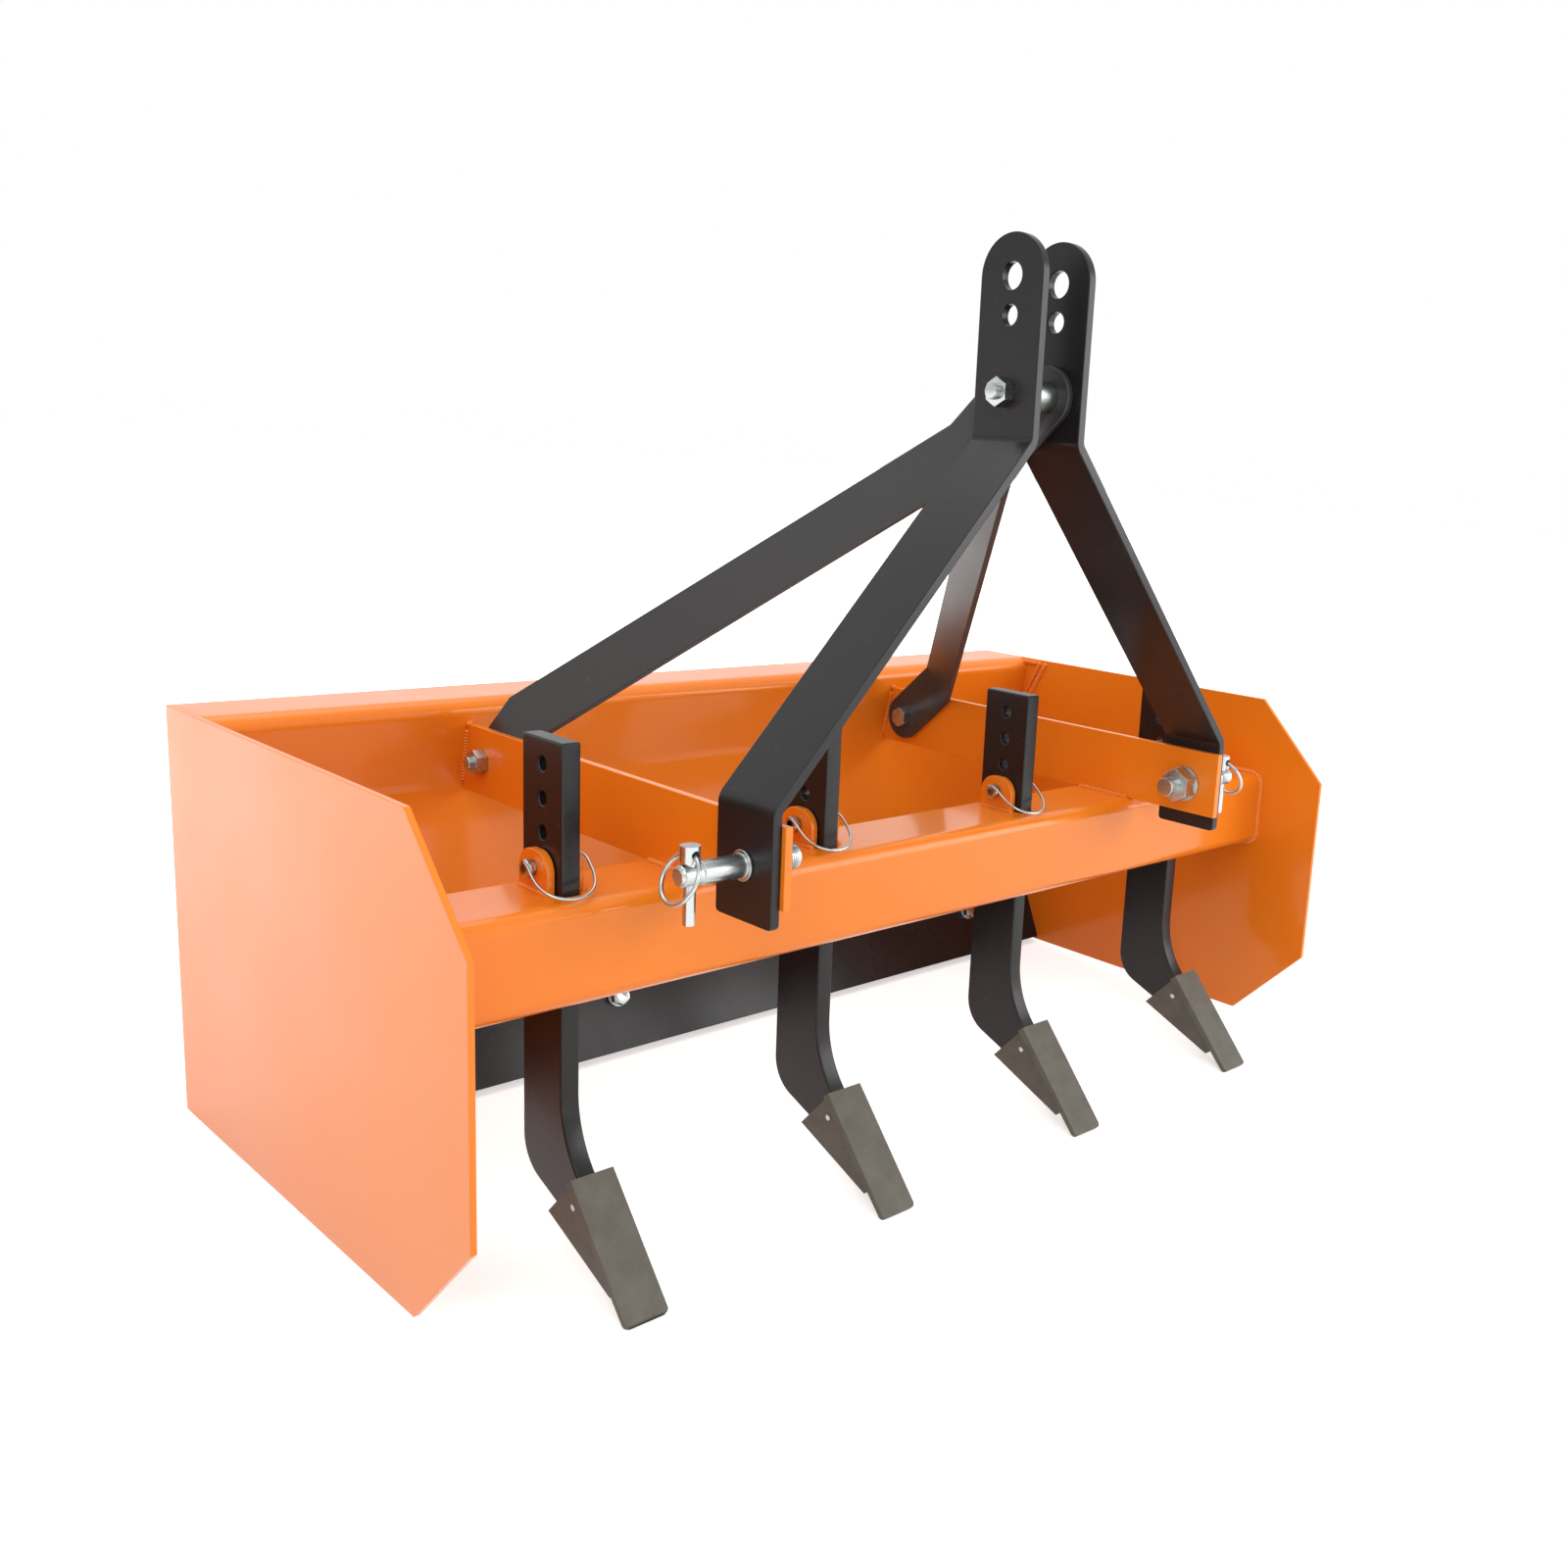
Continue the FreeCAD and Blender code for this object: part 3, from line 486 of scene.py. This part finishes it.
# The hitch plates: two upright flats, welded along the beam's top, and up both faces and over
# the top where they meet the moldboard's wall.
WALL_AT_PLATE_TOP = 0.0912
WELD_INSET = 0.004
plate_welds = []
for side in ("left", "right"):
    edged(f"hitch_plate_{side}", PLATE_EDGE, orange_paint)
    low, high = level_box(f"hitch_plate_{side}")
    for x in (low.x, high.x):
        plate_welds.append([(x, beam[0].y + BEAM_RADIUS, low.z), (x, beam[1].y - BEAM_RADIUS, low.z)])
        plate_welds.append([(x, -CREASE_BACK, CREASE_HEIGHT + WELD_INSET),
                            (x, -WALL_AT_PLATE_TOP, high.z - WELD_INSET)])
    plate_welds.append([(low.x, -WALL_AT_PLATE_TOP, high.z), (high.x, -WALL_AT_PLATE_TOP, high.z)])
weld("hitch_plate_welds", plate_welds)

# The ripper shanks: flat bars bent forward, painted black. Each is held between two tabs by a
# plated pin with a wire bail, and carries a rough cast tip on its toe, which a sprung pin holds.
CAST = (0.102, 0.098, 0.080)


def rough_casting(name, colour):
    """Sand-cast iron with a pitted skin, in patches of dull grey and brown."""
    material, add = new_material(name)
    at = add("TexCoord").outputs["Object"]
    patch = add("TexNoise", {"Vector": at, "Scale": 38.0, "Detail": 5.0, "Roughness": 0.6})
    sand = add("TexNoise", {"Vector": at, "Scale": 420.0, "Detail": 4.0, "Roughness": 0.7})
    lumps = add("TexNoise", {"Vector": at, "Scale": 110.0, "Detail": 3.0})
    tint = add("MixRGB", {"Fac": patch.outputs["Fac"], "Color1": tuple(c * 0.62 for c in colour) + (1,),
                          "Color2": tuple(c * 1.45 for c in colour) + (1,)})
    height = add("Math", {0: lumps.outputs["Fac"], 1: sand.outputs["Fac"]}, operation="ADD")
    bump = add("Bump", {"Height": height.outputs[0], "Strength": 0.42, "Distance": 0.0011})
    rough = add("MapRange", {"Value": sand.outputs["Fac"], "To Min": 0.44, "To Max": 0.72})
    iron = add("BsdfPrincipled", {"Base Color": tint.outputs[0], "Roughness": rough.outputs[0],
                                  "Normal": bump.outputs[0], "Metallic": 0.25})
    add("OutputMaterial", {"Surface": iron.outputs[0]})
    return material


tip_iron = rough_casting("cast_tip_iron", CAST)
TIP_LEAN = math.radians(41.7)
down_tip = Vector((0, -math.sin(TIP_LEAN), -math.cos(TIP_LEAN)))
behind_tip = Vector((0, math.cos(TIP_LEAN), -math.sin(TIP_LEAN)))
TIP_TOP = (-0.545, 0.088)
SPRUNG_PIN_DOWN, SPRUNG_PIN_BEHIND = 0.019, 0.024
SPRUNG_PIN_LENGTH, SPRUNG_PIN_RADIUS = 0.033, 0.0033
LOCK_PIN_RADIUS = 0.006
LOCK_HEAD, LOCK_HEAD_RADIUS = 0.007, 0.0085
TAB_BEAD_RADIUS = 0.0036
BAIL_WIRE = 0.0028
BAIL_ROUTE = [(-27, -475, 366), (-30, -487, 364), (-33, -499, 358), (-34, -511, 352), (-31, -521, 347.5),
              (-24, -527, 344.5), (-14, -530, 342.5), (-3, -530, 342), (8, -527, 344), (17, -520, 348),
              (22, -511, 354), (24, -501, 361), (25.5, -491, 367), (26, -480, 368), (25, -473, 362)]

deselect()
bpy.ops.curve.primitive_nurbs_path_add()
wire = bpy.context.object
line = wire.data.splines[0]
line.points.add(len(BAIL_ROUTE) - len(line.points))
for point, (x, y, z) in zip(line.points, BAIL_ROUTE):
    point.co = (x / 1000, y / 1000, z / 1000, 1)
line.order_u = 3
line.use_endpoint_u = True
line.resolution_u = 6
wire.data.bevel_depth = BAIL_WIRE / 2
wire.data.bevel_resolution = 2
wire.data.use_fill_caps = True
bpy.ops.object.convert(target="MESH")
bpy.ops.object.mode_set(mode="EDIT")
bpy.ops.mesh.select_all(action="SELECT")
bpy.ops.mesh.remove_doubles(threshold=0.00001)
bpy.ops.object.mode_set(mode="OBJECT")
bpy.ops.object.shade_smooth()



def lower_corners(middle):
    """Picks the edges at a tip's two lower corners, which its casting rounds well off."""
    def picked(place, way):
        return abs(way.dot(behind_tip)) > 0.95 and place.z < 0 and abs(place.x - middle) > 0.021
    return picked


tab_welds = []
for number in range(1, 5):
    edged(f"shank_{number}", 0.002, black_paint, bevel_from=40)
    shank_low, shank_high = level_box(f"shank_{number}")
    middle = (shank_low.x + shank_high.x) / 2

    edged(f"shank_tip_{number}", 0.0012, tip_iron, corners=lower_corners(middle),
          corner_radius=0.005, cut_up=True)
    pin_at = Vector((middle, *TIP_TOP)) + down_tip * SPRUNG_PIN_DOWN + behind_tip * SPRUNG_PIN_BEHIND
    sprung = drum(middle - SPRUNG_PIN_LENGTH / 2, SPRUNG_PIN_LENGTH, SPRUNG_PIN_RADIUS,
                  (pin_at.y, pin_at.z), sides=24)
    handed_over(joined([sprung], f"tip_pin_{number}"), zinc)

    pin_low, pin_high = level_box(f"lock_pin_{number}")
    at = ((pin_low.y + pin_high.y) / 2, (pin_low.z + pin_high.z) / 2)
    pin = joined([drum(pin_low.x, pin_high.x - pin_low.x, LOCK_PIN_RADIUS, at, rim=0.0012),
                  drum(pin_low.x, LOCK_HEAD, LOCK_HEAD_RADIUS, at, rim=0.0018)],
                 f"finished_lock_pin_{number}")
    handed_over(pin, zinc, (f"lock_pin_{number}",))
    bail = copied(wire, Matrix.Translation((middle, 0, 0)))
    handed_over(joined([bail], f"lock_pin_bail_{number}"), zinc)
    for side in ("left", "right"):
        edged(f"shank_tab_{number}_{side}", PLATE_EDGE, orange_paint, bevel_from=40)
        low, high = level_box(f"shank_tab_{number}_{side}")
        outer = low.x if side == "left" else high.x
        tab_welds.append([(outer, low.y, low.z), (outer, high.y, low.z)])
bpy.data.objects.remove(wire)
weld("shank_tab_welds", tab_welds, TAB_BEAD_RADIUS)

# The front straps and rear braces: flat bars bent inwards to the mast, painted black, with bolts
# at both ends. The braces shine greyer than the straps: their black is a painted sheen, a little
# greyer than the straps' same paint, and their coat is a little duller.
# painted sheen: the braces' black is lighter than the straps' to stand in for their greyer shine
BRACE_BLACK_PAINTED_SHEEN = (0.030, 0.029, 0.029)
brace_paint_painted_sheen = gloss_paint("brace_black_painted_sheen", BRACE_BLACK_PAINTED_SHEEN, roughness=0.36, coat=0.0, dust=0.04, ior=1.5)
BAR_EDGE = 0.0012
STRAP_FOOT = level_box("front_strap_left")[0].z


def foot_corners(place, way):
    """Picks the two edges at a strap's lower end that run across it."""
    return abs(way.x) > 0.95 and place.z < STRAP_FOOT + 0.001


for side in ("left", "right"):
    edged(f"front_strap_{side}", BAR_EDGE, black_paint, bevel_from=40,
          corners=foot_corners, corner_radius=0.005)
    edged(f"rear_brace_{side}", BAR_EDGE, brace_paint_painted_sheen, bevel_from=40)

# The bolts, nuts and hitch pins: zinc-plated hexagon bolts and nuts, and turned lower pins that
# a collar and a nut hold to the straps. A lynch pin with a ring stands in each lower pin's end.
BOLT_RADIUS = 0.008
BOLT_INSET = 0.002
MAST_NUT = (0.013, 0.025)
REAR_NUT, REAR_HEAD = (0.013, 0.024), 0.010
HITCH_NUT = (0.019, 0.036)
WASHER, WASHER_RADIUS = 0.003, 0.021
HITCH_THREAD_RADIUS = 0.0114


def middle_of(node):
    """A node's lowest and highest corners, and the y and z of the middle between them."""
    low, high = level_box(node)
    return low, high, ((low.y + high.y) / 2, (low.z + high.z) / 2)


low, high, at = middle_of("mast_bolt")
nut_length, nut_width = MAST_NUT
nut_start = -high.x
mast_bolt = joined([
    drum(*stretch(nut_start + BOLT_INSET, high.x - BOLT_INSET), BOLT_RADIUS, at),
    hexagon(nut_start, nut_length, nut_width, at),
    hexagon(high.x - nut_length, nut_length, nut_width, at),
    threads(*stretch(low.x, nut_start + BOLT_INSET / 2), BOLT_RADIUS, at)], "finished_mast_bolt")
handed_over(mast_bolt, zinc, ("mast_bolt",))
edged("mast_spacer", 0.001, zinc, bevel_from=40)

for side, sign in (("left", -1), ("right", 1)):
    low, high, at = middle_of(f"rear_brace_bolt_{side}")
    inner, outer = (high.x, low.x) if sign < 0 else (low.x, high.x)
    nut_length, nut_width = REAR_NUT
    plate_face = level_box(f"hitch_plate_{side}")[(sign + 1) // 2].x
    nut_face = plate_face + sign * nut_length
    bolt = joined([
        drum(*stretch(inner + sign * BOLT_INSET, nut_face - sign * BOLT_INSET), BOLT_RADIUS, at),
        hexagon(*stretch(inner, inner + sign * REAR_HEAD), nut_width, at),
        hexagon(*stretch(plate_face, nut_face), nut_width, at),
        threads(*stretch(nut_face - sign * BOLT_INSET / 2, outer), BOLT_RADIUS, at)],
        f"finished_rear_brace_bolt_{side}")
    handed_over(bolt, zinc, (f"rear_brace_bolt_{side}",))

    low, high, at = middle_of(f"hitch_pin_nut_{side}")
    nut_length, nut_width = HITCH_NUT
    nut_start = low.x if sign > 0 else high.x - nut_length
    washer_start = high.x - WASHER if sign > 0 else low.x
    nut = joined([hexagon(nut_start, nut_length, nut_width, at),
                  drum(washer_start, WASHER, WASHER_RADIUS, at, rim=0.0007, sides=56)],
                 f"finished_hitch_pin_nut_{side}")
    handed_over(nut, zinc, (f"hitch_pin_nut_{side}",))
    pin_low, pin_high, at = middle_of(f"hitch_pin_{side}")
    thread_start, thread_end = (pin_low.x, low.x) if sign > 0 else (high.x, pin_high.x)
    # the ridges stop short of the pin's own end, which shows
    thread = joined([threads(thread_start + WASHER / 2, thread_end - thread_start - WASHER,
                             HITCH_THREAD_RADIUS, at)], f"hitch_pin_thread_{side}")
    handed_over(thread, zinc)
    edged(f"hitch_pin_{side}", 0.0009, zinc, bevel_from=40)
    edged(f"lynch_pin_{side}", 0.0012, zinc, bevel_from=40, body=f"{side}_lynch_pin", cut_up=True)
    edged(f"lynch_ring_{side}", 0.0001, zinc, bevel_from=60, body=f"{side}_lynch_ring")
